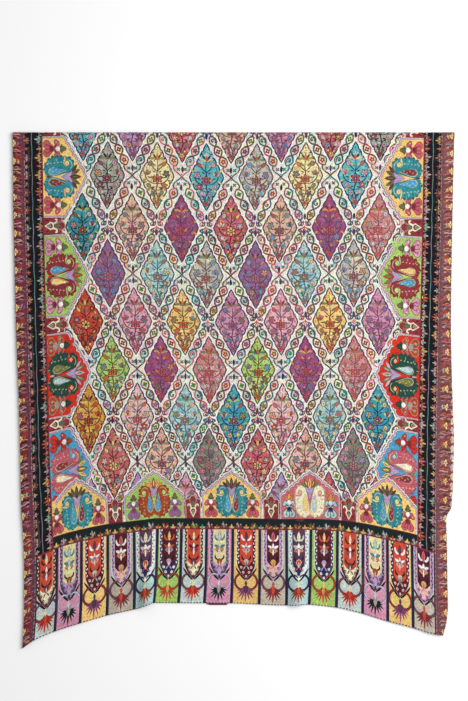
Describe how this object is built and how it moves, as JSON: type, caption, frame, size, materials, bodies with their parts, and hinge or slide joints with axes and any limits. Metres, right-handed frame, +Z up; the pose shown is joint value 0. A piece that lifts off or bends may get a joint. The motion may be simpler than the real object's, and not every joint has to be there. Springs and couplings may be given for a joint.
{
  "type": "kalamkari shawl",
  "caption": "Printed shawl folded once across its length and laid flat, with an arched border round a lattice field, turned-under long edges and a striped end panel.",
  "frame": {"origin": "on the surface it lies on, under the middle of the folded shawl's outline", "axes": "+Z up out of the surface, +Y towards the fold, -Y towards the hem, X across the cloth"},
  "size_m": [0.9801, 1.1467, 0.0185],
  "materials": {
    "field_cloth": "fine wool and cotton cloth, printed and pen-coloured, matt with a faint soft sheen",
    "dark_band_cloth": "the same cloth, near black with small sprigs, matt",
    "star_border_cloth": "the same cloth, maroon with pale stars, matt",
    "end_panel_cloth": "the same cloth in narrow coloured panels, matt",
    "reverse_cloth": "the reverse of the same cloth, its colours muted, matt"
  },
  "bodies": {
    "root": {"fold": "field_cloth", "field": "field_cloth", "dark_band_left": "dark_band_cloth", "dark_band_right": "dark_band_cloth", "dark_band_cross": "dark_band_cloth", "star_border_left": "star_border_cloth", "star_border_right": "star_border_cloth", "end_panel_left": "end_panel_cloth", "end_ridge_left": "end_panel_cloth", "end_panel_middle": "end_panel_cloth", "end_ridge_right": "end_panel_cloth", "end_panel_right": "end_panel_cloth", "hidden_half": "reverse_cloth"}
  },
  "joints": []
}
